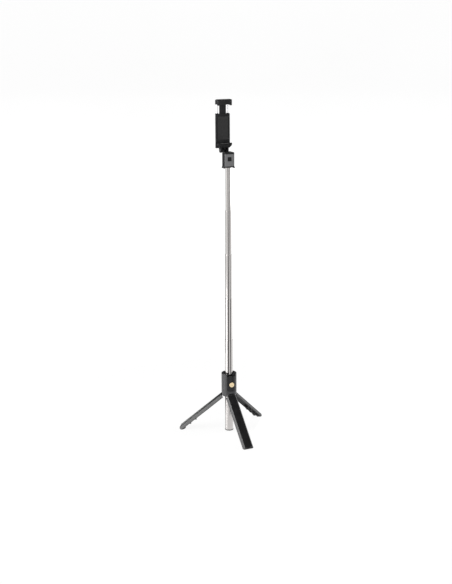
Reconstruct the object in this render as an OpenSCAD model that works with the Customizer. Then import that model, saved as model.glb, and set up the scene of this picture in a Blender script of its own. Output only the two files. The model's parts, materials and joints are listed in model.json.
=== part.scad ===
// Tripod selfie stick: telescopic steel tubes on a fold-out tripod, with a
// detachable remote in the hub and a tilting spring clamp for a phone.
// Millimetres. The origin is on the stick's axis at floor level, +Z is up and
// -Y is the front, where the phone's screen, the remote and one leg are.

/* [Tubes] */
// Outer diameter of the thinnest tube
inner_tube_d = 10; // [9:0.5:10.5]
// Growth in diameter from one tube to the next
tube_step = 1.2; // [1.15:0.05:1.25]
// Wall thickness of every tube
tube_wall = 0.4; // [0.3:0.05:0.45]
// Gap between the outer tube's lower end and the floor
tube_lift = 4.1; // [3:0.1:6]
// Top of the outer tube, inside the hub
outer_tube_top = 104.4; // [102:0.1:106]
// Length that shows of each moving tube, from the widest to the thinnest
shown_5 = 82.0; // [79:0.1:90]
shown_4 = 80.9; // [79:0.1:90]
shown_3 = 85.0; // [79:0.1:90]
shown_2 = 82.7; // [79:0.1:90]
shown_1 = 79.4; // [79:0.1:90]
// Length of a tube that stays inside the next one at full reach
tube_overlap = 17; // [15:0.5:20]

/* [Hub and legs] */
// Hub diameter
hub_d = 29; // [28.5:0.1:30]
// Height of the hub's lower end above the floor
hub_bottom = 75; // [74:0.1:75.5]
// Height of the hub's top
hub_top = 119.6; // [119:0.1:121]
// Angle between an open leg and the stick
leg_open = 48.8; // [46:0.1:49]
// Side of the hexagonal handle that the closed legs form
leg_side = 14.8; // [14.6:0.1:15]
// Wall thickness of a leg
leg_wall = 1.5; // [1.2:0.1:1.8]

/* [Remote] */
// Remote width
remote_w = 17.8; // [17:0.1:18]
// Remote bottom
remote_bottom = 85.8; // [85:0.1:88]
// Remote top
remote_top = 116; // [115.5:0.1:117]
// Button diameter
button_d = 9.5; // [8:0.1:10]
// Height of the button's centre
button_z = 99.1; // [98:0.1:100]

/* [Head block] */
// Block width
block_w = 18.4; // [18:0.1:20]
// Lower edge of the block's body
block_bottom = 516.2; // [516:0.1:517]
// Lower edge of the block's two side skirts
skirt_bottom = 513.6; // [512:0.1:514]
// Top of the block
block_top = 542.8; // [542:0.1:543]

/* [Phone clamp] */
// Jaw width
jaw_w = 27.5; // [27:0.5:30]
// Width of the phone that the clamp is set to
phone_w = 69.8; // [66:0.1:80]
// Height of the pad that the phone stands on
grip_z = 555.7; // [555.5:0.1:556]

/* [Hidden] */
$fn = 64;
eps = 0.01;

// Colours
black = [0.05, 0.05, 0.055];
soft_black = [0.12, 0.12, 0.125];
hub_grey = [0.24, 0.24, 0.25];
plate_grey = [0.42, 0.42, 0.44];
chrome = [0.80, 0.78, 0.77];
steel = [0.62, 0.62, 0.64];
champagne = [0.93, 0.83, 0.63];
rubber = [0.20, 0.20, 0.20];
board_green = [0.10, 0.32, 0.18];
brass = [0.78, 0.63, 0.32];

// Tubes, counted from the thinnest
function tube_d(i) = inner_tube_d + (i - 1) * tube_step;
function bore_d(i) = tube_d(i) - 2 * tube_wall;
top_5 = outer_tube_top + shown_5;
top_4 = top_5 + shown_4;
top_3 = top_4 + shown_3;
top_2 = top_3 + shown_2;
tube_in_block = 11.6; // end of the thinnest tube inside the head block
top_1 = top_2 + shown_1 + tube_in_block;
function tube_top(i) = [top_1, top_2, top_3, top_4, top_5, outer_tube_top][i - 1];
function tube_bottom(i) = i == 6 ? tube_lift : tube_top(i + 1) - tube_overlap;
outer_r = tube_d(6) / 2;
neck = 2.5;           // rolled-in neck at a tube's top
running_gap = 0.06;   // in the necks and round the friction bushes
stop_gap = 0.2;       // a bush stops this far under the neck
bead = 0.8;           // rim that keeps a bush on its tube
plug_flange = 1.6;    // part of the end plug below the outer tube

// Hub
hub_r = hub_d / 2;
recess_r = 8.8;       // open ring round the stick in the hub's top
pocket_y = 9.6;       // floor of the remote's pocket, from the axis
pocket_gap = 0.1;
hub_screw_z = 96;

// Legs
apothem = leg_side * sqrt(3) / 2;
leg_headings = [-90, 30, 150];
hinge_r = 11.2;
hinge_z = hub_bottom + 2.74;
leg_top = hub_bottom - 0.5;
leg_length = 125;     // before the foot is cut
leg_gap = 0.2;        // half the gap between closed legs
leg_corner = 2.6;
lug_r = 2.7;
lug_w = 9.4;
pin_r = 1;
pin_half = 8.9;
tip_r = 3;            // rounding of a leg's tip
pad_end = 15;         // length of the rubber plug in a leg's tip
rib_t = 1.6;
rib_pitch = 14.6;

// Remote
remote_r = hub_r - 0.02;
remote_wall = 0.9;
remote_back = pocket_y + pocket_gap;
button_out = 0.5;     // the button stands this far out
button_flange = 0.3;  // rim of the button behind the shell
cell_z = remote_top - 8.3; // centre of the coin cell
cell_r = 5.8;
cell_cover_r = 6.25;
contact_z0 = button_z + button_d / 2 + button_flange + 0.5; // clear of the pressed button
back_ridge_z = remote_bottom + 4.2; // side flanges of the remote start here

// Head block
block_front = -7.9;
block_back = 8.1;
plate_t = 1.4;
plate_z0 = 517.2;
plate_z1 = 539.4;
cap_z = 539.7;
cap_back = 6.9;
swivel_web = 2.3;     // from the tube's top to the swivel screw's head
window = 7.6;         // square window through the face plate
window_z = 530.3;
face_screw_r = 1;
face_screw_l = 1.3;   // length of the face screw in the block
skirt_y0 = -6.7;       // front and back ends of the skirts
skirt_y1 = 5.3;
collar_r = 6.2;        // boss round the tube, under the block
collar_h = 1.8;

// Phone clamp
lip_front = 13.9;     // front of the jaws' lips
lip_t = 1.7;
rest_y = 23.6;        // face that the phone's back rests against
jaw_back = 27;
lower_jaw_z = 548.9;
top_grip_z = grip_z + phone_w;
jaw_top_z = top_grip_z + 9.6;
body_top = 609;       // the clamp's fixed part ends here
pad_t = 1.6;
rail_x = 10.5;        // guide rods and springs
rail_y = 26.6;
rail_half = 2.7;
rail_back = 29.4;
spring_bore = 2;
rod_r = 1;
rod_z = 575;          // lower end of the springs
cap_seat_z = 606;     // underside of the rail caps, upper end of the springs
rod_in_jaw = 6;       // length of a guide rod inside the upper jaw
bore_bottom = 557;    // lower end of the spring bores
cover_bottom = 551;
rest_pad_half = 10;   // seat of the rubber strip behind the phone
rest_pad_z = [562, 604];
rest_pad_depth = 0.4;
stem_half = 6.4;
stem_z = 572;
stem_y = [24.6, 26.0];
cover_y = 26.2;
cover_screw_x = 7;
cover_screw_z = [553, 606];
spring_r = 1.45;      // mean radius of a coil
wire_r = 0.25;
coils = 10;

// Tilt hinge under the clamp
tilt_y = 20.3;
tilt_z = 544;
tilt_r = 1.5;
knuckle_r = 5;
finger_w = 2.9;
finger_pitch = 6.3;
block_lug_w = 2.6;
block_lug_r = 4.3;
washer_t = 0.3;

// ---------- general shapes ----------

module ring(r_out, r_in, z0, z1) {
    translate([0, 0, z0])
        difference() {
            cylinder(r = r_out, h = z1 - z0);
            translate([0, 0, -1]) cylinder(r = r_in, h = z1 - z0 + 2);
        }
}

module rod(r, x, y, z0, z1) {
    translate([x, y, z0]) cylinder(r = r, h = z1 - z0);
}

module box(x0, x1, y0, y1, z0, z1) {
    translate([x0, y0, z0]) cube([x1 - x0, y1 - y0, z1 - z0]);
}

module x_rod(r, x0, x1, y, z) {
    translate([x0, y, z]) rotate([0, 90, 0]) cylinder(r = r, h = x1 - x0);
}

module y_rod(r, x, y0, y1, z) {
    translate([x, y0, z]) rotate([-90, 0, 0]) cylinder(r = r, h = y1 - y0);
}

// An outline in X and Z, extruded from y0 to y1
module front_slab(y0, y1) {
    translate([0, y1, 0]) rotate([90, 0, 0]) linear_extrude(y1 - y0) children();
}

// An outline in Y and Z, extruded from x0 to x1
module side_slab(x0, x1) {
    translate([x0, 0, 0]) rotate([90, 0, 90]) linear_extrude(x1 - x0) children();
}

// Rectangle with its lower and upper corners rounded
module soft_rect(x0, x1, z0, z1, r_low, r_high) {
    translate([x0, z0 + r_low]) square([x1 - x0, z1 - z0 - r_low - r_high]);
    translate([x0 + r_low, z0]) square([x1 - x0 - 2 * r_low, (z1 - z0) / 2]);
    translate([x0 + r_high, (z0 + z1) / 2]) square([x1 - x0 - 2 * r_high, (z1 - z0) / 2]);
    if (r_low > 0)
        for (x = [x0 + r_low, x1 - r_low]) translate([x, z0 + r_low]) circle(r = r_low);
    if (r_high > 0)
        for (x = [x0 + r_high, x1 - r_high]) translate([x, z1 - r_high]) circle(r = r_high);
}

// ---------- telescopic tubes ----------

module tube_shape(i) {
    r = tube_d(i) / 2;
    z0 = tube_bottom(i);
    z1 = tube_top(i);
    ring(r, r - tube_wall, z0, z1 - (i > 1 ? neck : 0));
    if (i > 1) {
        // The top is rolled in until it runs on the next tube
        ring(r, tube_d(i - 1) / 2 + running_gap, z1 - neck, z1 - 0.4);
        ring(r - 0.2, tube_d(i - 1) / 2 + running_gap, z1 - 0.4, z1);
    }
    if (i < 6) ring(bore_d(i + 1) / 2 - running_gap, r - tube_wall, z0, z0 + bead);
}

module tube_1() { color(chrome) tube_shape(1); }
module tube_2() { color(chrome) tube_shape(2); }
module tube_3() { color(chrome) tube_shape(3); }
module tube_4() { color(chrome) tube_shape(4); }
module tube_5() { color(chrome) tube_shape(5); }

module tube_6() {
    color(chrome)
    difference() {
        tube_shape(6);
        y_rod(1, 0, -9, -7, hub_screw_z);
    }
}

module tube_end_plug() {
    color(soft_black) {
        rod(outer_r + 0.2, 0, 0, tube_lift - plug_flange, tube_lift);
        rod(bore_d(6) / 2, 0, 0, tube_lift - eps, tube_lift + 1.6);
    }
}

// Slotted spring sleeve that gives a tube its friction
module friction_bush(i) {
    r_out = bore_d(i + 1) / 2 - running_gap;
    z0 = tube_bottom(i) + bead;
    z1 = tube_top(i + 1) - neck - stop_gap;
    color(steel)
    difference() {
        ring(r_out, tube_d(i) / 2, z0, z1);
        box(-0.5, 0.5, 0, r_out + 1, z0 + 2, z1 + 1);
    }
}

// ---------- hub ----------

module leg_slot() {
    // Deep slot for the leg's lug, and a wider notch for its face
    box(-lug_w / 2 - 0.2, lug_w / 2 + 0.2, -hub_r - 1, -outer_r, hub_bottom - 1, hub_bottom + 6);
    box(-leg_side / 2 - 0.5, leg_side / 2 + 0.5, -hub_r - 1, -12.4, hub_bottom - 1, hub_bottom + 5.6);
}

module remote_pocket() {
    front_slab(-hub_r - 1, -pocket_y)
        soft_rect(-remote_w / 2 - pocket_gap, remote_w / 2 + pocket_gap,
                  remote_bottom - pocket_gap, hub_top + 1, 4, 0);
    // The thin wall behind the remote stops short of the remote's top
    box(-remote_w / 2 - pocket_gap, remote_w / 2 + pocket_gap, -pocket_y - eps, -outer_r,
        remote_top - 4, hub_top + 1);
    // Grooves that hold the remote by its side flanges
    box(-remote_w / 2 - 0.7, remote_w / 2 + 0.7, -pocket_y - 0.8, -pocket_y, remote_bottom + 4, hub_top + 1);
}

module hub_body() {
    edge = 1;
    color(hub_grey)
    difference() {
        rotate_extrude() {
            translate([0, hub_bottom]) square([hub_r, hub_top - edge - hub_bottom]);
            translate([0, hub_bottom]) square([hub_r - edge, hub_top - hub_bottom]);
            translate([hub_r - edge, hub_top - edge]) circle(r = edge);
        }
        rod(outer_r + 0.02, 0, 0, hub_bottom - 1, outer_tube_top + eps);
        rod(recess_r, 0, 0, outer_tube_top, hub_top + 1);
        remote_pocket();
        for (a = leg_headings) rotate(a + 90) {
            leg_slot();
            x_rod(pin_r, -pin_half, pin_half, -hinge_r, hinge_z);
        }
        y_rod(1, 0, -10, -7, hub_screw_z);
        y_rod(1.9, 0, -10, -8.9, hub_screw_z);
    }
}

// Fixes the hub to the outer tube, behind the remote
module hub_screw() {
    color(steel)
    difference() {
        union() {
            y_rod(1, 0, -8.95, -7.65, hub_screw_z);
            y_rod(1.8, 0, -9.5, -8.9, hub_screw_z);
        }
        box(-1.3, 1.3, -9.6, -9.25, hub_screw_z - 0.2, hub_screw_z + 0.2);
    }
}

// ---------- legs ----------

function polar(r, a) = [r * cos(a), r * sin(a)];

module soft_hexagon(a, r) {
    core = (a - r) / cos(30);
    polygon([for (k = [0:5], s = [-30, 30]) polar(core, 60 * k) + polar(r, 60 * k + s)]);
    for (k = [0:5]) translate(polar(core, 60 * k)) circle(r = r);
}

// Third of the plane round -Y, less the gap to the neighbours
module leg_sector() {
    shift = leg_gap / sin(60);
    polygon([[0, -shift], polar(60, -150) - [0, shift], [0, -80], polar(60, -30) - [0, shift]]);
}

// The front leg's section: one side of the handle's hexagon and half of each
// neighbouring side
module leg_section(solid) {
    intersection() {
        difference() {
            soft_hexagon(apothem, leg_corner);
            if (!solid) soft_hexagon(apothem - leg_wall, leg_corner - 1.2);
        }
        leg_sector();
    }
}

// Swings a closed front leg open
module opened() {
    translate([0, -hinge_r, hinge_z]) rotate([-leg_open, 0, 0])
        translate([0, hinge_r, -hinge_z]) children();
}

// Side view of the space that a front leg may fill: above z0, inside the
// plane of its outer face, with a round tip
module leg_profile(z0) {
    face = apothem - hinge_r + hinge_r * cos(leg_open) + hinge_z * sin(leg_open);
    tip_y = -(face - tip_r - (z0 + tip_r) * sin(leg_open)) / cos(leg_open);
    translate([tip_y, z0 + tip_r]) circle(r = tip_r);
    polygon([[tip_y, z0], [20, z0], [20, 120], [-40, 120],
             [tip_y, z0 + tip_r] - tip_r * [cos(leg_open), -sin(leg_open)]]);
}

module leg_shape() {
    rib_z = leg_top - leg_length + 21.2;
    difference() {
        intersection() {
            opened() {
                translate([0, 0, leg_top - leg_length]) linear_extrude(leg_length) leg_section(false);
                // Cross ribs near the tip, where no tube lies between the legs
                for (k = [0:2]) translate([0, 0, rib_z + k * rib_pitch])
                    linear_extrude(rib_t) difference() {
                        leg_section(true);
                        circle(r = 5);
                    }
                // Hinge lug
                x_rod(lug_r, -lug_w / 2, lug_w / 2, -hinge_r, hinge_z);
                box(-lug_w / 2, lug_w / 2, -apothem + 0.8, -9.2, 64, hinge_z);
            }
            side_slab(-20, 20) leg_profile(0.5);
        }
        x_rod(pin_r + 0.05, -10, 10, -hinge_r, hinge_z);
    }
}

// Rubber plug in the open end of a leg
module foot_pad_shape() {
    end_z = leg_top - leg_length + 5;
    intersection() {
        opened()
            translate([0, 0, end_z]) linear_extrude(pad_end) difference() {
                intersection() {
                    soft_hexagon(apothem - leg_wall, leg_corner - 1.2);
                    leg_sector();
                }
                circle(r = 5);
            }
        side_slab(-20, 20) leg_profile(0);
    }
}

module leg_pin_shape() {
    x_rod(pin_r, -pin_half, pin_half, -hinge_r, hinge_z);
}

module leg_front() { color(black) rotate(leg_headings[0] + 90) leg_shape(); }
module leg_right() { color(black) rotate(leg_headings[1] + 90) leg_shape(); }
module leg_left() { color(black) rotate(leg_headings[2] + 90) leg_shape(); }
module foot_pad_front() { color(rubber) rotate(leg_headings[0] + 90) foot_pad_shape(); }
module foot_pad_right() { color(rubber) rotate(leg_headings[1] + 90) foot_pad_shape(); }
module foot_pad_left() { color(rubber) rotate(leg_headings[2] + 90) foot_pad_shape(); }
module leg_pin_front() { color(steel) rotate(leg_headings[0] + 90) leg_pin_shape(); }
module leg_pin_right() { color(steel) rotate(leg_headings[1] + 90) leg_pin_shape(); }
module leg_pin_left() { color(steel) rotate(leg_headings[2] + 90) leg_pin_shape(); }

// ---------- remote ----------

// The remote's outline, drawn in by `inset`
module remote_outline(inset) {
    soft_rect(-remote_w / 2 + inset, remote_w / 2 - inset, remote_bottom + inset,
              remote_top - inset, 4 - inset, 1.5 - inset);
}

module remote_front_shell() {
    split = remote_back + 0.9;
    color(black)
    difference() {
        intersection() {
            rod(remote_r, 0, 0, remote_bottom, remote_top);
            front_slab(-hub_r, -split) remote_outline(0);
        }
        intersection() {
            rod(remote_r - remote_wall, 0, 0, remote_bottom, remote_top);
            front_slab(-hub_r, -split + 1) remote_outline(remote_wall);
        }
        y_rod(button_d / 2 + 0.1, 0, -hub_r - 1, -split, button_z);
    }
}

module remote_back_shell() {
    color(soft_black)
    difference() {
        union() {
            front_slab(-remote_back - 0.9, -remote_back) remote_outline(0);
            box(-remote_w / 2 - 0.5, remote_w / 2 + 0.5, -remote_back - 0.6, -remote_back,
                back_ridge_z, remote_top - 1.5);
        }
        y_rod(cell_cover_r + 0.05, 0, -remote_back - 1, -remote_back + 1, cell_z);
    }
}

module remote_cell_cover() {
    color(soft_black)
    difference() {
        y_rod(cell_cover_r, 0, -remote_back - 0.6, -remote_back, cell_z);
        box(-4, 4, -remote_back - 0.3, 0, cell_z - 0.6, cell_z + 0.6);
    }
}

module remote_cell() {
    color(steel) y_rod(cell_r, 0, -remote_back - 2.3, -remote_back - 0.7, cell_z);
}

module remote_cell_contact() {
    color(brass)
        box(-2, 2, -remote_back - 2.55, -remote_back - 2.3, contact_z0, cell_z + 2);
}

module remote_board() {
    y = -remote_back - 0.9;
    color(board_green) box(-6.4, 6.4, y - 0.7, y, remote_bottom + 2.2, cell_z - cell_r - 0.6);
}

module remote_switch() {
    y = -remote_back - 1.6;
    color(steel) {
        box(-1.8, 1.8, y - 0.5, y, button_z - 1.8, button_z + 1.8);
        y_rod(0.9, 0, y - 0.7, y - 0.5, button_z);
    }
}

module remote_button() {
    front = -hub_r - button_out;
    inner = -hub_r + 1.9;
    color(champagne)
    difference() {
        union() {
            y_rod(button_d / 2, 0, front + 0.4, inner + eps, button_z);
            y_rod(button_d / 2 - 0.4, 0, front, front + 0.5, button_z);
            // Flange behind the shell
            y_rod(button_d / 2 + button_flange, 0, inner, inner + 0.25, button_z);
        }
        y_rod(1.5, 0, front - 1, front + 0.2, button_z);
    }
}

// ---------- head block ----------

module swivel_plug() {
    color(steel)
    difference() {
        rod(bore_d(1) / 2, 0, 0, top_1 - 7, top_1);
        rod(1.25, 0, 0, top_1 - 8, top_1 + 1);
    }
}

// Holds the block on the tube and lets it turn
module swivel_screw() {
    head_z = top_1 + swivel_web;
    color(steel)
    difference() {
        union() {
            rod(1.25, 0, 0, top_1 - 5, head_z + eps);
            rod(3.6, 0, 0, head_z, head_z + 1.8);
        }
        for (a = [0, 90]) rotate(a) box(-1.6, 1.6, -0.35, 0.35, head_z + 0.9, head_z + 3);
    }
}

// Plan of the block: square in front, round corners behind
module block_plan(out) {
    translate([0, (block_front + block_back) / 2])
        soft_rect(-block_w / 2 - out, block_w / 2 + out,
                  -(block_back - block_front) / 2 - out, (block_back - block_front) / 2 + out, 0.6, 3);
}

module tilt_lug(x) {
    arm_low = tilt_z - block_lug_r;
    side_slab(x - block_lug_w / 2, x + block_lug_w / 2) {
        translate([tilt_y, tilt_z]) circle(r = block_lug_r);
        polygon([[block_back - 1, arm_low - 4], [block_back - 1, block_top - 1.6],
                 [tilt_y - 1.3, tilt_z + 3.9], [tilt_y + 2, tilt_z], [tilt_y, arm_low],
                 [block_back + 4.5, arm_low]]);
    }
}

// Flared skirts on the block's sides; they land on the hub's rim when folded
module skirts() {
    half = block_w / 2;
    for (s = [-1, 1])
        translate([0, skirt_y0, 0]) rotate([90, 0, 0]) mirror([s < 0 ? 1 : 0, 0, 0])
            translate([0, 0, skirt_y0 - skirt_y1]) linear_extrude(skirt_y1 - skirt_y0)
                polygon([[half - 2, block_bottom + 1], [half - 0.2, skirt_bottom], [half + 1.4, skirt_bottom],
                         [half + 1.5, skirt_bottom + 1.6], [half - 0.2, block_bottom + 2]]);
}

// The block's rounded front outline, as a slab through its whole depth
module block_front_shape() {
    front_slab(-20, 20) soft_rect(-block_w / 2, block_w / 2, block_bottom - 5, block_top, 0, 2.4);
}

module block_body() {
    color(black)
    difference() {
        union() {
            translate([0, 0, block_bottom]) linear_extrude(cap_z - block_bottom) block_plan(0);
            // Low wall behind the cap
            intersection() {
                translate([0, 0, cap_z - 1]) linear_extrude(block_top - cap_z) block_plan(0);
                block_front_shape();
                box(-20, 20, cap_back + 0.05, 20, 500, 600);
            }
            skirts();
            rod(collar_r, 0, 0, block_bottom - collar_h, block_bottom + eps);
            for (s = [-1, 1]) tilt_lug(s * finger_pitch / 2);
        }
        // Seat of the face plate
        box(-block_w, block_w, block_front - 2, block_front + plate_t, plate_z0, plate_z1);
        rod(inner_tube_d / 2 + 0.05, 0, 0, block_bottom - 3, top_1 + 0.3);
        rod(1.35, 0, 0, top_1, cap_z);
        rod(3.9, 0, 0, top_1 + swivel_web - 0.05, cap_z + 1);
        x_rod(tilt_r + 0.05, -20, 20, tilt_y, tilt_z);
        y_rod(face_screw_r, 0, block_front, block_front + plate_t + face_screw_l, window_z);
    }
}

// Closes the hole over the swivel screw
module block_cap() {
    color(black) {
        intersection() {
            translate([0, 0, cap_z]) linear_extrude(block_top - cap_z) block_plan(0);
            block_front_shape();
            box(-20, 20, -20, cap_back, 500, 600);
        }
        rod(3.85, 0, 0, cap_z - 2, cap_z + eps);
    }
}

module block_face_plate() {
    color(plate_grey)
    difference() {
        box(-block_w / 2, block_w / 2, block_front, block_front + plate_t, plate_z0, plate_z1);
        box(-window / 2, window / 2, block_front - 1, block_front + plate_t + 1,
            window_z - window / 2, window_z + window / 2);
    }
}

// Small screw in the plate's window
module block_face_screw() {
    seat = block_front + plate_t;
    color(steel)
    difference() {
        union() {
            y_rod(face_screw_r, 0, seat - 0.1, seat + face_screw_l, window_z);
            y_rod(1.6, 0, seat - 0.8, seat, window_z);
        }
        for (a = [0, 90]) translate([0, seat, window_z]) rotate([0, a, 0])
            box(-0.9, 0.9, -1, -0.4, -0.2, 0.2);
    }
}

// ---------- phone clamp ----------

// Plan of the clamp behind the phone: a flat plate with two rails
module clamp_plan(back) {
    translate([-jaw_w / 2 + 0.3, rest_y]) square([jaw_w - 0.6, back - rest_y]);
    for (s = [-1, 1])
        translate([s * rail_x - rail_half, rest_y]) square([2 * rail_half, rail_back - rest_y - 1]);
    for (s = [-1, 1])
        translate([s * rail_x, rest_y]) soft_rect(-rail_half, rail_half, 1, rail_back - rest_y, 0, 1.2);
}

// Outline of a jaw from the front. The grip side is at z = 0 and the jaw
// reaches to z = depth behind it, where its corners are cut off by `bevel`; the
// lip passes the grip by `lip_over` and is scooped out in the middle.
module jaw_outline(depth, lip_over, scoop, bevel) {
    half = jaw_w / 2;
    difference() {
        polygon([[-half, -lip_over], [half, -lip_over], [half, depth - bevel], [half - bevel * 1.1, depth],
                 [-half + bevel * 1.1, depth], [-half, depth - bevel]]);
        if (scoop > 0) {
            r = (10.5 * 10.5 + scoop * scoop) / (2 * scoop);
            translate([0, -lip_over + scoop - r]) circle(r = r, $fn = 128);
        }
    }
}

// Jaw with its lip in front, grip side down, grip plane at z = 0
module jaw_shape(depth, bevel) {
    front_slab(lip_front, lip_front + lip_t) jaw_outline(depth, 1.4, 3.4, bevel);
    front_slab(lip_front + lip_t - eps, rest_y + eps) difference() {
        jaw_outline(depth, 0, 0, bevel);
        // Seat of the pad
        translate([-jaw_w / 2 + 1.2, -1]) square([jaw_w - 2.4, 1 + pad_t]);
    }
}

module clamp_finger(x) {
    side_slab(x - finger_w / 2, x + finger_w / 2) {
        translate([tilt_y, tilt_z]) circle(r = knuckle_r);
        translate([tilt_y - knuckle_r, tilt_z]) square([2 * knuckle_r, lower_jaw_z - tilt_z + 0.5]);
    }
}

module clamp_body() {
    outer = finger_pitch + finger_w / 2;
    color(black)
    difference() {
        union() {
            intersection() {
                translate([0, 0, lower_jaw_z]) linear_extrude(body_top - lower_jaw_z) clamp_plan(cover_y);
                front_slab(0, 40) translate([0, body_top]) mirror([0, 1])
                    jaw_outline(body_top - lower_jaw_z, 0, 0, 4);
            }
            translate([0, 0, grip_z]) mirror([0, 0, 1]) jaw_shape(grip_z - lower_jaw_z, 4);
            for (k = [-1, 0, 1]) clamp_finger(k * finger_pitch);
            // The rails run on below the jaw
            for (s = [-1, 1])
                box(s * rail_x - rail_half, s * rail_x + rail_half, rest_y + 0.4, rail_back - 0.6,
                    lower_jaw_z - 1.8, lower_jaw_z + 6);
        }
        // Channel of the upper jaw's stem
        box(-stem_half - 0.2, stem_half + 0.2, stem_y[0] - 0.2, rail_back, grip_z, body_top + 1);
        for (s = [-1, 1]) {
            rod(spring_bore, s * rail_x, rail_y, bore_bottom, body_top + 1);
            for (z = cover_screw_z) y_rod(0.6, s * cover_screw_x, cover_y - 1.8, 30, z);
        }
        // Seat of the rubber strip behind the phone
        box(-rest_pad_half, rest_pad_half, rest_y - 1, rest_y + rest_pad_depth, rest_pad_z[0], rest_pad_z[1]);
        // Tilt screw, with its head and nut sunk in the outer fingers
        x_rod(tilt_r, -20, 20, tilt_y, tilt_z);
        x_rod(2.8, -outer - 1, -outer + 1.3, tilt_y, tilt_z);
        x_rod(2.9, outer - 1.3, outer + 1, tilt_y, tilt_z);
    }
}

module clamp_back_cover() {
    color(soft_black)
    difference() {
        box(-rail_x + rail_half + 0.05, rail_x - rail_half - 0.05, cover_y, jaw_back,
            cover_bottom, body_top);
        for (s = [-1, 1], z = cover_screw_z) y_rod(0.65, s * cover_screw_x, 20, 30, z);
    }
}

module clamp_cover_screws() {
    color(steel)
        for (s = [-1, 1], z = cover_screw_z)
            y_rod(0.6, s * cover_screw_x, cover_y - 1.7, jaw_back, z);
}

// Caps that guide the rods and hold the springs down
module clamp_rail_caps() {
    color(soft_black)
        for (s = [-1, 1]) translate([s * rail_x, rail_y, 0]) {
            ring(spring_bore, rod_r + 0.05, cap_seat_z, body_top + eps);
            ring(2.5, rod_r + 0.05, body_top, body_top + 0.8);
        }
}

module lower_jaw_pad() {
    color(rubber)
        box(-jaw_w / 2 + 1.3, jaw_w / 2 - 1.3, lip_front + lip_t, rest_y, grip_z - pad_t, grip_z);
}

module upper_jaw_pad() {
    color(rubber)
        box(-jaw_w / 2 + 1.3, jaw_w / 2 - 1.3, lip_front + lip_t, rest_y, top_grip_z, top_grip_z + pad_t);
}

module phone_rest_pad() {
    color(rubber)
    difference() {
        box(-rest_pad_half + 0.1, rest_pad_half - 0.1, rest_y, rest_y + rest_pad_depth,
            rest_pad_z[0] + 0.1, rest_pad_z[1] - 0.1);
        for (z = [rest_pad_z[0] + 5:5:rest_pad_z[1] - 4]) box(-8, 8, rest_y - 1, rest_y + 0.15, z, z + 1);
    }
}

module upper_jaw() {
    color(black)
    difference() {
        union() {
            translate([0, 0, top_grip_z]) jaw_shape(jaw_top_z - top_grip_z, 1.2);
            translate([0, 0, top_grip_z]) linear_extrude(jaw_top_z - top_grip_z - 1.2) clamp_plan(jaw_back);
            box(-stem_half, stem_half, stem_y[0], stem_y[1], stem_z, top_grip_z + 1);
        }
        for (s = [-1, 1]) rod(rod_r, s * rail_x, rail_y, top_grip_z - 1, top_grip_z + rod_in_jaw);
    }
}

module clamp_guide_rods() {
    color(steel)
        for (s = [-1, 1]) {
            rod(rod_r, s * rail_x, rail_y, rod_z - 0.6, top_grip_z + rod_in_jaw);
            rod(1.75, s * rail_x, rail_y, rod_z - 1.4, rod_z);
        }
}

// Coil of round wire swept along a helix between z0 and z1
module coil(r, wire, turns, z0, z1) {
    per_turn = 12;
    sides = 6;
    rings = turns * per_turn;
    points = [for (k = [0:rings], j = [0:sides - 1])
        let (a = 360 * k / per_turn, b = 360 * j / sides, rr = r + wire * cos(b))
        [rr * cos(a), rr * sin(a), z0 + wire + (z1 - z0 - 2 * wire) * k / rings + wire * sin(b)]];
    walls = [for (k = [0:rings - 1], j = [0:sides - 1])
        let (n = (j + 1) % sides)
        each [[k * sides + j, k * sides + n, (k + 1) * sides + n],
              [k * sides + j, (k + 1) * sides + n, (k + 1) * sides + j]]];
    start = [for (j = [1:sides - 2]) [0, j + 1, j]];
    end = [for (j = [1:sides - 2]) rings * sides * [1, 1, 1] + [0, j, j + 1]];
    polyhedron(points, concat(walls, start, end), convexity = 10);
}

module clamp_springs() {
    color(steel)
        for (s = [-1, 1]) translate([s * rail_x, rail_y, 0]) coil(spring_r, wire_r, coils, rod_z, cap_seat_z);
}

// ---------- tilt hinge ----------

module tilt_screw() {
    outer = finger_pitch + finger_w / 2;
    color(steel)
    difference() {
        union() {
            x_rod(tilt_r, -outer + 1, outer - 0.1, tilt_y, tilt_z);
            x_rod(2.7, -outer + 0.1, -outer + 1.3, tilt_y, tilt_z);
        }
        for (a = [0, 90]) translate([-outer, tilt_y, tilt_z]) rotate([a, 0, 0])
            box(-1, 0.7, -1.6, 1.6, -0.3, 0.3);
    }
}

module tilt_nut() {
    outer = finger_pitch + finger_w / 2;
    color(steel)
    difference() {
        translate([outer - 1.3, tilt_y, tilt_z]) rotate([0, 90, 0]) cylinder(r = 2.8, h = 1.2, $fn = 6);
        x_rod(tilt_r, 0, 20, tilt_y, tilt_z);
    }
}

module tilt_washers() {
    gap = (finger_pitch - finger_w - block_lug_w) / 2;
    color(steel)
        for (x = [-1.5, -0.5, 0.5, 1.5])
            let (edge = x < 0 ? -1 : 1,
                 mid = (abs(x) == 0.5 ? finger_w / 2 + gap / 2 : finger_pitch - finger_w / 2 - gap / 2) * edge)
            difference() {
                x_rod(3.4, mid - washer_t / 2, mid + washer_t / 2, tilt_y, tilt_z);
                x_rod(tilt_r + 0.05, -20, 20, tilt_y, tilt_z);
            }
}

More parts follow.
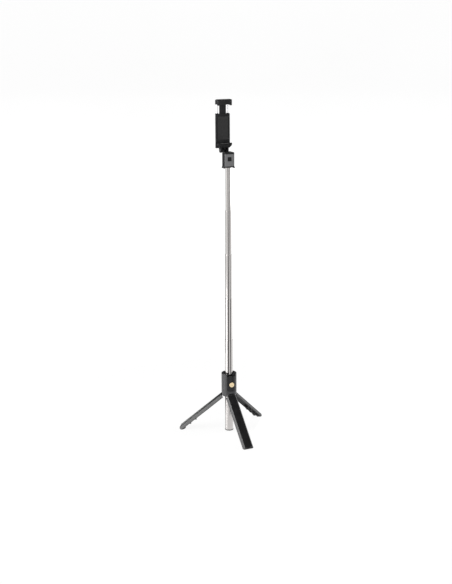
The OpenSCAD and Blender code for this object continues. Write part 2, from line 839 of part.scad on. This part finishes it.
tube_1();
tube_2();
tube_3();
tube_4();
tube_5();
tube_6();
tube_end_plug();
friction_bush(1);  // friction_bush_1
friction_bush(2);  // friction_bush_2
friction_bush(3);  // friction_bush_3
friction_bush(4);  // friction_bush_4
friction_bush(5);  // friction_bush_5
hub_body();
hub_screw();
leg_front();
leg_right();
leg_left();
foot_pad_front();
foot_pad_right();
foot_pad_left();
leg_pin_front();
leg_pin_right();
leg_pin_left();
remote_front_shell();
remote_back_shell();
remote_button();
remote_board();
remote_switch();
remote_cell();
remote_cell_contact();
remote_cell_cover();
swivel_plug();
swivel_screw();
block_body();
block_cap();
block_face_plate();
block_face_screw();
clamp_body();
clamp_back_cover();
clamp_cover_screws();
clamp_rail_caps();
lower_jaw_pad();
phone_rest_pad();
upper_jaw();
upper_jaw_pad();
clamp_guide_rods();
clamp_springs();
tilt_screw();
tilt_nut();
tilt_washers();
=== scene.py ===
"""Looks, light and camera for the tripod selfie stick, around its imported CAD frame.

Everything is in metres in the CAD's frame: +Z up along the stick, -Y the front.
"""

import json
from math import cos, pi, radians, sin

import bmesh
import bpy
from mathutils import Matrix, Vector


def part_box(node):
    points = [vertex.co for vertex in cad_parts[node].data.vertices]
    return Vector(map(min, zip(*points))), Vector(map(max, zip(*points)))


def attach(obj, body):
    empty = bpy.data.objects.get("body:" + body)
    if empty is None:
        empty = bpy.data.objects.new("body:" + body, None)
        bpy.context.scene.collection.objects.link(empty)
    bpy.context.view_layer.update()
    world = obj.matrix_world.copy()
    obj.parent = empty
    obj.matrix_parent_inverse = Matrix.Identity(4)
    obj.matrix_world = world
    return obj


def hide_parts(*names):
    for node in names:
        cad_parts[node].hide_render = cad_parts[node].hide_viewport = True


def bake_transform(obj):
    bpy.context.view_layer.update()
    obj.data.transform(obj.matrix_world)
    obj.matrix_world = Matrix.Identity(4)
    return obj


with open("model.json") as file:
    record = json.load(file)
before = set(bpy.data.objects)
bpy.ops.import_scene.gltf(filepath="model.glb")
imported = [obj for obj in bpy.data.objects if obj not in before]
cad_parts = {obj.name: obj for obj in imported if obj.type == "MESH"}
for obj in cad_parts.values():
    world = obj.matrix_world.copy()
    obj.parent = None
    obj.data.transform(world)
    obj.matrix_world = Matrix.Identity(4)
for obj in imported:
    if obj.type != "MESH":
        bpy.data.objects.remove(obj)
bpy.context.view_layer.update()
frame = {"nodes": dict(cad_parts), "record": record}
nodes = frame["nodes"]
body_of = {n: b for b, members in frame["record"]["behaviour"]["bodies"].items() for n in members}
slot_of = {s["node"]: s["material_slot"] for s in frame["record"]["subparts"]}
colour_of = {m["slot"]: tuple(m["base_color"][:3]) for m in frame["record"]["materials"]}

MM = 0.001

# Width of the rounding on each solid's hard edges, in millimetres
ROUNDING = {
    "leg_front": 0.5, "leg_right": 0.5, "leg_left": 0.5,
    "hub_body": 0.25, "remote_front_shell": 0.2,
    "block_body": 0.15, "block_cap": 0.2, "block_face_plate": 0.3,
    "clamp_body": 0.2, "upper_jaw": 0.2,
}


# ---------- camera ----------

def place_camera():
    """Aims the camera at the stick and returns the azimuth that it stands at."""
    azimuth, pitch, roll = radians(-22.32), radians(15.38), radians(-0.285)
    distance, height = 1.7395, 0.7586
    pan = radians(0.163)
    data = bpy.data.cameras.new("camera")
    data.sensor_width = 36.0
    data.lens = 59.19
    data.clip_start = 0.05
    camera = bpy.data.objects.new("camera", data)
    bpy.context.scene.collection.objects.link(camera)
    heading = azimuth + pan
    forward = Vector((-sin(heading) * cos(pitch), cos(heading) * cos(pitch), -sin(pitch)))
    right = Vector((cos(heading), sin(heading), 0))
    up = right.cross(forward)
    rolled_right = cos(roll) * right + sin(roll) * up
    rolled_up = cos(roll) * up - sin(roll) * right
    turn = Matrix((rolled_right, rolled_up, -forward)).transposed()
    place = Vector((distance * sin(azimuth), -distance * cos(azimuth), height))
    camera.matrix_world = Matrix.Translation(place) @ turn.to_4x4()
    bpy.context.scene.camera = camera
    return azimuth


# ---------- materials ----------

class Finish:
    """A Principled material whose colour, roughness and bump come from nodes."""

    def __init__(self, name, **constants):
        self.material = bpy.data.materials.new(name)
        self.material.use_nodes = True
        self.tree = self.material.node_tree
        self.shader = self.tree.nodes["Principled BSDF"]
        for socket, value in constants.items():
            self.shader.inputs[socket.replace("_", " ")].default_value = value
        self.place = self.tree.nodes.new("ShaderNodeTexCoord").outputs["Object"]
        self.height = None

    def node(self, kind, **values):
        made = self.tree.nodes.new(kind)
        for key, value in values.items():
            setattr(made, key, value)
        return made

    def link(self, output, socket):
        self.tree.links.new(output, socket)

    def noise(self, size, detail=3.0, roughness=0.5, stretch=(1, 1, 1)):
        """Noise whose lumps are `size` metres across, longer along an axis by `stretch`."""
        mapping = self.node("ShaderNodeMapping")
        mapping.inputs["Scale"].default_value = [1 / (size * s) for s in stretch]
        self.link(self.place, mapping.inputs["Vector"])
        noise = self.node("ShaderNodeTexNoise")
        noise.inputs["Scale"].default_value = 1.0
        noise.inputs["Detail"].default_value = detail
        noise.inputs["Roughness"].default_value = roughness
        self.link(mapping.outputs["Vector"], noise.inputs["Vector"])
        return noise.outputs["Fac"]

    def ramp(self, value, *stops):
        """A colour or grey ramp; each stop is (position, grey or colour)."""
        ramp = self.node("ShaderNodeValToRGB")
        elements = ramp.color_ramp.elements
        while len(elements) < len(stops):
            elements.new(0.5)
        for element, (position, colour) in zip(elements, stops):
            element.position = position
            element.color = (*colour, 1) if isinstance(colour, tuple) else (colour, colour, colour, 1)
        self.link(value, ramp.inputs["Fac"])
        return ramp.outputs["Color"]

    def mixed(self, factor, a, b, mode="MIX"):
        mix = self.node("ShaderNodeMix", data_type="RGBA", blend_type=mode)
        for socket, value in ((mix.inputs["Factor"], factor), (mix.inputs["A"], a), (mix.inputs["B"], b)):
            if isinstance(value, bpy.types.NodeSocket):
                self.link(value, socket)
            else:
                socket.default_value = value
        return mix.outputs["Result"]

    def colour(self, output):
        self.link(output, self.shader.inputs["Base Color"])

    def rough(self, output):
        self.link(output, self.shader.inputs["Roughness"])

    def bump(self, height, distance, strength=1.0):
        bump = self.node("ShaderNodeBump")
        bump.inputs["Distance"].default_value = distance
        bump.inputs["Strength"].default_value = strength
        self.link(height, bump.inputs["Height"])
        if self.height is not None:
            self.link(self.height, bump.inputs["Normal"])
        self.height = bump.outputs["Normal"]
        self.link(self.height, self.shader.inputs["Normal"])


def shade(colour, factor):
    return tuple(c * factor for c in colour)


def tube_finish(colour):
    """Polished steel tube, drawn lengthwise, with a faint warm cast and finger haze."""
    f = Finish("polished_tube", Metallic=1.0)
    lines = f.noise(0.0006, 4, 0.6, stretch=(1, 1, 400))
    haze = f.noise(0.018, 3, 0.55, stretch=(1, 1, 2.5))
    tint = f.ramp(haze, (0.3, shade(colour, 0.67)), (0.7, shade(colour, 0.72)))
    streak = f.ramp(lines, (0.35, (0.93, 0.93, 0.93)), (0.65, (1, 1, 1)))
    f.colour(f.mixed(1.0, tint, streak, "MULTIPLY"))
    hazy, drawn = f.ramp(haze, (0.3, 0.04), (0.75, 0.11)), f.ramp(lines, (0.3, 0.04), (0.7, 0.10))
    f.rough(f.mixed(0.5, hazy, drawn))
    f.bump(lines, 0.0000008, 0.3)
    return f.material


def steel_finish(colour):
    """Plain machined steel for screws, pins and rods."""
    f = Finish("spring_steel", Metallic=1.0)
    turned = f.noise(0.0004, 3, 0.6, stretch=(1, 1, 8))
    stain = f.noise(0.003, 3, 0.5)
    f.colour(f.ramp(stain, (0.3, shade(colour, 0.82)), (0.7, shade(colour, 1.08))))
    f.rough(f.ramp(turned, (0.3, 0.22), (0.7, 0.42)))
    f.bump(turned, 0.00001, 0.5)
    return f.material


def recess_shade_screw_finish(colour):
    """Screw head with painted shade: its steel is darkened to 5 to 14 per cent, the near-black of the recess
    it sits in, and is lighter in random patches.
    """
    f = Finish("screw_steel_painted_recess_shade", Metallic=0.8)
    screw_patches = f.noise(0.0008, 3, 0.6)
    f.colour(f.ramp(screw_patches, (0.45, shade(colour, 0.05)), (0.85, shade(colour, 0.14))))
    f.rough(f.ramp(screw_patches, (0.3, 0.45), (0.7, 0.6)))
    f.bump(screw_patches, 0.00001, 0.4)
    return f.material


def moulded_finish(name, colour, low, high, grain=0.00035, depth=0.000018):
    """Moulded plastic: a fine spark-eroded grain, with rubbed patches that shine more."""
    f = Finish(name, IOR=1.36)
    fine = f.noise(grain, 2, 0.6)
    rubbed = f.noise(0.012, 4, 0.6)
    f.colour(f.ramp(rubbed, (0.3, shade(colour, 0.8)), (0.7, shade(colour, 1.25))))
    patches, grains = f.ramp(rubbed, (0.3, low), (0.75, high)), f.ramp(fine, (0.3, low), (0.7, high))
    f.rough(f.mixed(0.3, patches, grains))
    f.bump(fine, depth, 0.6)
    return f.material


def painted_finish(name, colour, low, high):
    """Satin paint with metal flake in it."""
    f = Finish(name, Metallic=0.3, IOR=1.5, Coat_Weight=0.15, Coat_Roughness=0.3)
    flakes = f.noise(0.00022, 1, 0.5)
    cloud = f.noise(0.02, 3, 0.5)
    tone = f.ramp(cloud, (0.3, shade(colour, 0.93)), (0.7, shade(colour, 1.07)))
    speck = f.ramp(flakes, (0.35, (0.86, 0.86, 0.87)), (0.62, (1, 1, 1)))
    f.colour(f.mixed(1.0, tone, speck, "MULTIPLY"))
    f.rough(f.ramp(cloud, (0.3, low), (0.7, high)))
    f.bump(flakes, 0.000003, 0.4)
    return f.material


def rubber_finish(colour):
    """Matt rubber with a little dust in its grain."""
    f = Finish("black_rubber", IOR=1.48, Sheen_Weight=0.08, Sheen_Roughness=0.5)
    grain = f.noise(0.0005, 4, 0.7)
    dust = f.noise(0.004, 4, 0.6)
    f.colour(f.ramp(dust, (0.35, shade(colour, 0.75)), (0.72, shade(colour, 1.6))))
    f.rough(f.ramp(dust, (0.3, 0.62), (0.7, 0.85)))
    f.bump(grain, 0.00004, 0.6)
    return f.material


def button_finish(colour):
    """Champagne gold: spun rings round the button's centre."""
    low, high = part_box("remote_button")
    middle = (low + high) / 2
    f = Finish("button_gold", Metallic=0.12, IOR=1.5, Coat_Weight=0.4, Coat_Roughness=0.15)
    mapping = f.node("ShaderNodeMapping")
    mapping.inputs["Location"].default_value = -middle
    f.link(f.place, mapping.inputs["Vector"])
    rings = f.node("ShaderNodeTexWave", wave_type="RINGS", rings_direction="Y")
    rings.inputs["Scale"].default_value = 1400
    rings.inputs["Distortion"].default_value = 0.6
    f.link(mapping.outputs["Vector"], rings.inputs["Vector"])
    tone = f.noise(0.003, 2, 0.5)
    warm = (colour[0], colour[1] * 0.93, colour[2] * 0.82)
    f.colour(f.ramp(tone, (0.3, shade(warm, 0.96)), (0.7, shade(warm, 1.05))))
    f.rough(f.ramp(rings.outputs["Fac"], (0.2, 0.28), (0.8, 0.36)))
    f.bump(rings.outputs["Fac"], 0.000004, 0.5)
    return f.material


def board_finish(colour):
    """Lacquered circuit board with its glass weave."""
    f = Finish("board_green", IOR=1.5, Coat_Weight=0.5)
    weave = f.noise(0.0005, 2, 0.5, stretch=(1, 1, 3))
    f.colour(f.ramp(weave, (0.35, shade(colour, 0.8)), (0.65, shade(colour, 1.2))))
    f.rough(f.ramp(weave, (0.3, 0.3), (0.7, 0.45)))
    f.bump(weave, 0.00002, 0.4)
    return f.material


def brass_finish(colour):
    """Bare brass, slightly stained."""
    f = Finish("contact_brass", Metallic=1.0)
    stain = f.noise(0.002, 3, 0.5)
    f.colour(f.ramp(stain, (0.3, shade(colour, 0.85)), (0.7, shade(colour, 1.08))))
    f.rough(f.ramp(stain, (0.3, 0.25), (0.7, 0.4)))
    return f.material


def make_finishes():
    c = colour_of
    return {
        "polished_tube": tube_finish(c["polished_tube"]),
        "spring_steel": steel_finish(c["spring_steel"]),
        "black_plastic": moulded_finish("black_plastic", shade(c["black_plastic"], 0.5), 0.34, 0.48),
        "hub_grey": painted_finish("hub_grey", c["hub_grey"], 0.36, 0.46),
        "leg_black": moulded_finish("leg_black", c["leg_black"], 0.26, 0.36, 0.0003, 0.0000012),
        "remote_black": moulded_finish("remote_black", c["remote_black"], 0.3, 0.4, 0.00025, 0.000008),
        "button_gold": button_finish(c["button_gold"]),
        "board_green": board_finish(c["board_green"]),
        "contact_brass": brass_finish(c["contact_brass"]),
        "clamp_black": moulded_finish("clamp_black", c["clamp_black"], 0.24, 0.36),
        "plate_grey": painted_finish("plate_grey", c["plate_grey"], 0.34, 0.44),
        "black_rubber": rubber_finish(c["black_rubber"]),
    }


# ---------- shapes ----------

def new_piece(name, mesh, body, slot):
    piece = bpy.data.objects.new(name, mesh)
    bpy.context.scene.collection.objects.link(piece)
    mesh.materials.clear()
    mesh.materials.append(finishes[slot])
    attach(piece, body)
    return piece


def applied(piece):
    """Turns a piece's modifiers into its mesh."""
    bpy.context.view_layer.update()
    graph = bpy.context.evaluated_depsgraph_get()
    mesh = bpy.data.meshes.new_from_object(piece.evaluated_get(graph))
    piece.modifiers.clear()
    piece.data = mesh
    return mesh


def smooth(mesh, angle=32):
    mesh.shade_smooth()
    mesh.set_sharp_from_angle(angle=radians(angle))


def rounding_share(edge, width):
    """The share of `width` to round an edge by: less beside narrow faces, none if it is gentle or short."""
    gentle, short, narrow, roomy = radians(32), 2.2 * width, 0.15 * width, 1.6 * width
    if len(edge.link_faces) != 2 or edge.calc_face_angle(0) <= gentle or edge.calc_length() <= short:
        return 0
    room = min(face.calc_area() / max(e.calc_length() for e in face.edges) for face in edge.link_faces)
    return min(1, room / roomy) if room > narrow else 0


def softened(node, width):
    """Stands a copy of a CAD solid, with its hard edges rounded off, in the node's place."""
    same_point, same_plane = 0.002 * MM, radians(0.4)
    mesh = nodes[node].data.copy()
    bm = bmesh.new()
    bm.from_mesh(mesh)
    bmesh.ops.remove_doubles(bm, verts=bm.verts, dist=same_point)
    bmesh.ops.dissolve_limit(bm, angle_limit=same_plane, verts=bm.verts, edges=bm.edges)
    weight = bm.edges.layers.float.new("bevel_weight_edge")
    for edge in bm.edges:
        edge[weight] = rounding_share(edge, width)
    bm.to_mesh(mesh)
    bm.free()
    piece = new_piece(node + "_shell", mesh, body_of[node], slot_of[node])
    bevel = piece.modifiers.new("bevel", "BEVEL")
    bevel.limit_method = "WEIGHT"
    bevel.width = width
    bevel.segments = 3
    bevel.use_clamp_overlap = False
    mesh = applied(piece)
    split_large_faces(mesh)
    smooth(mesh, 38)
    weighted = piece.modifiers.new("weighted", "WEIGHTED_NORMAL")
    weighted.keep_sharp = True
    weighted.weight = 100
    applied(piece)
    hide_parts(node)
    return piece


def split_large_faces(mesh):
    """Cuts faces of more than four sides into triangles, so that each one shades flat."""
    bm = bmesh.new()
    bm.from_mesh(mesh)
    bmesh.ops.triangulate(bm, faces=[f for f in bm.faces if len(f.verts) > 4])
    bm.to_mesh(mesh)
    bm.free()


def rounded_path(corners, radius, steps=5):
    """The corners' polyline with its bends rounded off."""
    path = [corners[0]]
    for before, corner, after in zip(corners, corners[1:], corners[2:]):
        start = corner + (before - corner).normalized() * radius
        end = corner + (after - corner).normalized() * radius
        for k in range(steps + 1):
            t = k / steps
            path.append(start.lerp(corner, t).lerp(corner.lerp(end, t), t))
    return path + [corners[-1]]


def lip_rim(name, node, corners, radius):
    """Raised bead along the edge of a jaw's lip, half sunk in the lip's front."""
    curve = bpy.data.curves.new(name, "CURVE")
    curve.dimensions = "3D"
    curve.bevel_depth = radius
    curve.bevel_resolution = 4
    curve.use_fill_caps = True
    bend = 1.4 * MM
    path = rounded_path([Vector(c) for c in corners], bend)
    spline = curve.splines.new("POLY")
    spline.points.add(len(path) - 1)
    for point, place in zip(spline.points, path):
        point.co = (*place, 1)
    maker = bpy.data.objects.new(name + "_maker", curve)
    bpy.context.scene.collection.objects.link(maker)
    bpy.context.view_layer.update()
    graph = bpy.context.evaluated_depsgraph_get()
    mesh = bpy.data.meshes.new_from_object(maker.evaluated_get(graph))
    bpy.data.objects.remove(maker)
    smooth(mesh, 50)
    return new_piece(name, mesh, body_of[node], slot_of[node])


def jaw_rims():
    """The rims that frame the two jaws' lips."""
    over = 1.4 * MM        # how far a lip stands past its pad's gripping face
    side = 1.3 * MM        # how far a lip stands past its pad's ends
    inset = 0.8 * MM       # from the lip's edge to the rim's centre line
    sunk = 0.05 * MM       # from the lip's front to the rim's centre line
    radius = 0.45 * MM
    upper_cut, lower_cut = 0.6 * MM, 4 * MM
    lower_thickness = 5.2 * MM
    for node, pad in (("upper_jaw", "upper_jaw_pad"), ("clamp_body", "lower_jaw_pad")):
        low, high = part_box(node)
        pad_low, pad_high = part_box(pad)
        front, half = low.y + sunk, (pad_high.x - pad_low.x) / 2 + side - inset
        if node == "upper_jaw":
            grip, back, cut = pad_low.z - over + inset, high.z - inset, upper_cut
        else:
            grip, back, cut = pad_high.z + over - inset, pad_low.z - lower_thickness + inset, lower_cut
        away = 1 if back > grip else -1
        outline = [(-half, grip), (-half, back - away * cut), (-half + cut, back),
                   (half - cut, back), (half, back - away * cut), (half, grip)]
        lip_rim(node + "_rim", node, [(x, front, z) for x, z in outline], radius)


def return_springs():
    """The jaw's return springs: a smooth-shaded copy of the CAD coils, standing where the CAD puts them."""
    node = "clamp_springs"
    mesh = nodes[node].data.copy()
    mesh.materials.clear()
    mesh.materials.append(finishes[slot_of[node]])
    smooth(mesh, 75)
    piece = bpy.data.objects.new("return_springs", mesh)
    bpy.context.scene.collection.objects.link(piece)
    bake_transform(piece)
    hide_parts(node)


def finish_nodes():
    """Gives every CAD node that stays in view its own material and smooth shading."""
    for name, node in nodes.items():
        node.data.materials.clear()
        node.data.materials.append(finishes[slot_of[name]])
        smooth(node.data, 30)


# ---------- studio ----------

def area_light(name, place, target, size, power, spread=180):
    data = bpy.data.lights.new(name, "AREA")
    data.shape = "RECTANGLE"
    data.size, data.size_y = size
    data.energy = power
    data.spread = radians(spread)
    light = bpy.data.objects.new(name, data)
    bpy.context.scene.collection.objects.link(light)
    light.location = place
    light.rotation_euler = (Vector(target) - Vector(place)).to_track_quat("-Z", "Y").to_euler()
    return light


def around(azimuth, angle, distance, height=0.0):
    """A point round the stick: angle 0 is towards the camera, 90 to the camera's right."""
    turn = azimuth + radians(angle)
    return Vector((distance * sin(turn), -distance * cos(turn), height))


def studio_floor():
    """A pale round floor that gives off light and sweeps up into a low wall on every side."""
    flat, bend, wall = 3.5, 2.0, 3.0
    rows, steps, turns = 4, 16, 64
    profile = [(flat * k / rows, 0.0) for k in range(1, rows + 1)]
    for k in range(1, steps + 1):
        a = pi / 2 * k / steps
        profile.append((flat + bend * sin(a), bend - bend * cos(a)))
    profile.append((flat + bend, wall))
    verts = [(0, 0, 0)]
    for r, z in profile:
        verts += [(r * cos(t), r * sin(t), z) for t in (2 * pi * k / turns for k in range(turns))]
    ring = [[1 + row * turns + k for k in range(turns)] for row in range(len(profile))]
    faces = [(0, ring[0][k], ring[0][(k + 1) % turns]) for k in range(turns)]
    faces += [(inner[k], outer[k], outer[(k + 1) % turns], inner[(k + 1) % turns])
              for inner, outer in zip(ring, ring[1:]) for k in range(turns)]
    mesh = bpy.data.meshes.new("floor")
    mesh.from_pydata(verts, [], faces)
    mesh.shade_smooth()
    floor = bpy.data.objects.new("floor", mesh)
    bpy.context.scene.collection.objects.link(floor)
    f = Finish("floor_white", IOR=1.2, Emission_Color=(1, 1, 1, 1), Emission_Strength=0.89)
    f.colour(f.ramp(f.noise(0.8, 2, 0.5), (0.3, 0.17), (0.7, 0.19)))
    f.rough(f.ramp(f.noise(0.5, 2, 0.5), (0.3, 0.12), (0.7, 0.16)))
    mesh.materials.append(f.material)


def black_flag(name, angle, half_width, distance, top):
    """A curved black flag round the stick, from the floor up to `top`: only polished surfaces see it."""
    steps, foot = 6, 0.005
    mesh = bpy.data.meshes.new(name)
    angles = [angle + half_width * (2 * k / steps - 1) for k in range(steps + 1)]
    verts = [around(camera_azimuth, a, distance, z) for a in angles for z in (foot, top)]
    faces = [(2 * k, 2 * k + 2, 2 * k + 3, 2 * k + 1) for k in range(steps)]
    mesh.from_pydata([tuple(v) for v in verts], [], faces)
    f = Finish("flag_" + name)
    f.colour(f.ramp(f.noise(0.05, 2, 0.5), (0.3, 0.002), (0.7, 0.004)))
    f.rough(f.ramp(f.noise(0.05, 2, 0.5), (0.3, 0.85), (0.7, 0.95)))
    mesh.materials.append(f.material)
    flag = bpy.data.objects.new(name, mesh)
    bpy.context.scene.collection.objects.link(flag)
    flag.visible_camera = flag.visible_diffuse = flag.visible_shadow = False


def light_studio():
    """Three soft boxes, a dim white world and the black flags that draw the chrome's dark lines."""
    world = bpy.data.worlds.new("studio")
    world.use_nodes = True
    background = world.node_tree.nodes["Background"]
    background.inputs["Color"].default_value = (1, 1, 1, 1)
    background.inputs["Strength"].default_value = 0.15
    bpy.context.scene.world = world
    middle = (0, 0, 0.25)
    area_light("left_box", around(camera_azimuth, -74, 2.2, 0.72), middle, (1.8, 0.75), 11, spread=75)
    area_light("right_box", around(camera_azimuth, 105, 1.6, 0.7), middle, (0.6, 1.2), 6)
    area_light("front_box", around(camera_azimuth, 25, 2.2, 2.0), middle, (2.4, 1.6), 5)
    near, far, top = 0.25, 0.45, 0.62
    black_flag("flag_centre", -8, 15, near, top)
    black_flag("flag_right", 55, 14, near, top)
    black_flag("flag_left", -134, 12, far, top)
    black_flag("flag_back", 196, 22, far, top)
    view = bpy.context.scene.view_settings
    view.view_transform = "Standard"
    view.look = "None"


camera_azimuth = place_camera()
finishes = make_finishes()
finish_nodes()
# Painted shade: the face screw's steel is darkened to the near-black of the recess it sits in
nodes["block_face_screw"].data.materials[0] = recess_shade_screw_finish(colour_of["spring_steel"])
for name, width in ROUNDING.items():
    softened(name, width * MM)
jaw_rims()
return_springs()

studio_floor()
light_studio()
